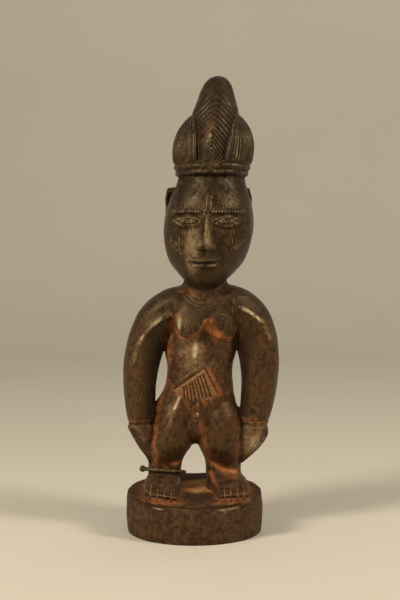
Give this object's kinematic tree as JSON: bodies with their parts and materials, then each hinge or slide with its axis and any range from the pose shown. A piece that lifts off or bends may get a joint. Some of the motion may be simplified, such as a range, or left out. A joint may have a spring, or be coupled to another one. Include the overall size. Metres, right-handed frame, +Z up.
{
  "type": "ibeji figure",
  "caption": "Carved wooden twin figure standing on a round base, with a crested coiffure, arms clear of the waist and a loose metal ring round an ankle.",
  "frame": {"origin": "centre of the base's flat underside", "axes": "+Z up, the figure faces -Y, +X is the figure's left"},
  "size_m": [0.0927, 0.0814, 0.27],
  "materials": {
    "wood": "dark handled patina, half glossy, with red camwood left in the hollows",
    "iron": "old wrought iron, brown with a greenish cast, dull"
  },
  "bodies": {
    "root": {"figure": "wood", "anklet": "iron"}
  },
  "joints": []
}
